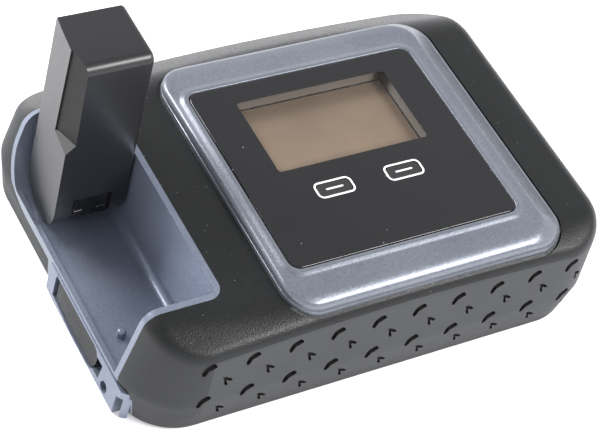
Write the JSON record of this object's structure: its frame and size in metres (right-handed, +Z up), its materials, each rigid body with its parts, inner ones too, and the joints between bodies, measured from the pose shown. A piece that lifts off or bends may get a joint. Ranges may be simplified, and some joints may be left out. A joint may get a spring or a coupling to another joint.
{
  "type": "portable satellite communicator",
  "caption": "Flat weatherproof satellite communicator with a glass display, two soft keys and a flip-up antenna that folds into a side bay.",
  "frame": {"origin": "centre of the case's footprint, on the surface it stands on", "axes": "+X right along the long side, away from the antenna; +Y to the back; +Z up"},
  "size_m": [0.1148, 0.082, 0.057],
  "materials": {
    "case_plastic": "fine moulded texture",
    "grip_rubber": "matte",
    "frame_paint": "satin metallic paint",
    "antenna_plastic": "satin",
    "lens_glass": "polished",
    "mask_ink": "printed",
    "display_film": "semi-gloss",
    "key_rubber": "satin",
    "seal_rubber": "matte",
    "inner_plastic": "matte",
    "circuit_board": "solder mask",
    "steel": "brushed",
    "brass": "turned",
    "copper_film": "etched",
    "battery_wrap": "satin",
    "cable_jacket": "satin",
    "red_key": "satin"
  },
  "bodies": {
    "case": {"front_case": "case_plastic", "rear_case": "case_plastic", "grip_overmould": "grip_rubber", "side_frame": "frame_paint", "case_seal": "seal_rubber", "case_screws": "steel", "screw_inserts": "brass", "display_bezel": "frame_paint", "bezel_gasket": "seal_rubber", "display_lens": "lens_glass", "lens_mask": "mask_ink", "lcd_panel": "display_film", "lcd_holder": "inner_plastic", "display_board": "circuit_board", "display_flex": "copper_film", "key_domes": "steel", "main_board": "circuit_board", "board_screws": "steel", "modem_module": "steel", "heat_spreader": "steel", "shield_cans": "steel", "sim_holder": "inner_plastic", "sim_card": "inner_plastic", "wifi_antenna": "circuit_board", "buzzer": "inner_plastic", "io_board": "circuit_board", "usb_connector": "steel", "rf_jack": "brass", "io_flex": "copper_film", "sos_switch": "inner_plastic", "battery_contacts": "brass", "door_insert": "brass", "hinge_pin": "steel", "hinge_bracket": "steel", "hinge_clip": "steel", "detent_spring": "steel", "antenna_coax": "cable_jacket", "stow_bumper": "seal_rubber"},
    "antenna": {"antenna_housing": "antenna_plastic", "antenna_cover": "antenna_plastic", "latch_plate": "steel", "antenna_board": "circuit_board", "helix_core": "inner_plastic", "helix_film": "copper_film"},
    "left_key": {"left_soft_key": "key_rubber"},
    "right_key": {"right_soft_key": "key_rubber"},
    "port_flap": {"port_cover": "seal_rubber"},
    "sos_flap": {"sos_cover": "case_plastic"},
    "sos_key": {"sos_button": "red_key"},
    "battery_lid": {"battery_door": "case_plastic", "door_seal": "seal_rubber"},
    "battery": {"battery_pack": "battery_wrap"},
    "lid_screw": {"door_screw": "steel"}
  },
  "joints": [
    {"name": "antenna_hinge", "type": "hinge", "parent": "case", "child": "antenna", "pos_m": [-0.0466, 0.0165, 0.0165], "axis": [1, 0, 0], "range_deg": [0, 90]},
    {"name": "left_key_press", "type": "slide", "parent": "case", "child": "left_key", "axis": [0, 0, -1], "range_m": [0, 0.0004], "stiffness_N_per_m": 3000, "springref_m": -0.0001},
    {"name": "right_key_press", "type": "slide", "parent": "case", "child": "right_key", "axis": [0, 0, -1], "range_m": [0, 0.0004], "stiffness_N_per_m": 3000, "springref_m": -0.0001},
    {"name": "port_cover_hinge", "type": "hinge", "parent": "case", "child": "port_flap", "pos_m": [-0.0568, -0.0022, 0.0045], "axis": [0, 0, -1], "range_deg": [0, 95], "stiffness_Nm_per_rad": 0.0008, "springref_deg": -5.73},
    {"name": "sos_cover_hinge", "type": "hinge", "parent": "case", "child": "sos_flap", "pos_m": [0.0553, 0.002, 0.0161], "axis": [0, -1, 0], "range_deg": [0, 85], "stiffness_Nm_per_rad": 0.001, "springref_deg": -11.46},
    {"name": "sos_key_press", "type": "slide", "parent": "case", "child": "sos_key", "axis": [-1, 0, 0], "range_m": [0, 0.0006], "stiffness_N_per_m": 3000, "springref_m": -0.0001},
    {"name": "battery_lid_slide", "type": "slide", "parent": "case", "child": "battery_lid", "axis": [0, 0, -1], "range_m": [0, 0.024]},
    {"name": "battery_slide", "type": "slide", "parent": "case", "child": "battery", "axis": [0, 0, -1], "range_m": [0, 0.012]},
    {"name": "lid_screw_turn", "type": "hinge", "parent": "battery_lid", "child": "lid_screw", "pos_m": [-0.0257, 0, 0.001], "axis": [0, 0, -1], "continuous": true}
  ],
  "couplings": [
    {"joint": "battery_slide", "follows": "battery_lid_slide", "ratio": 0.5}
  ]
}
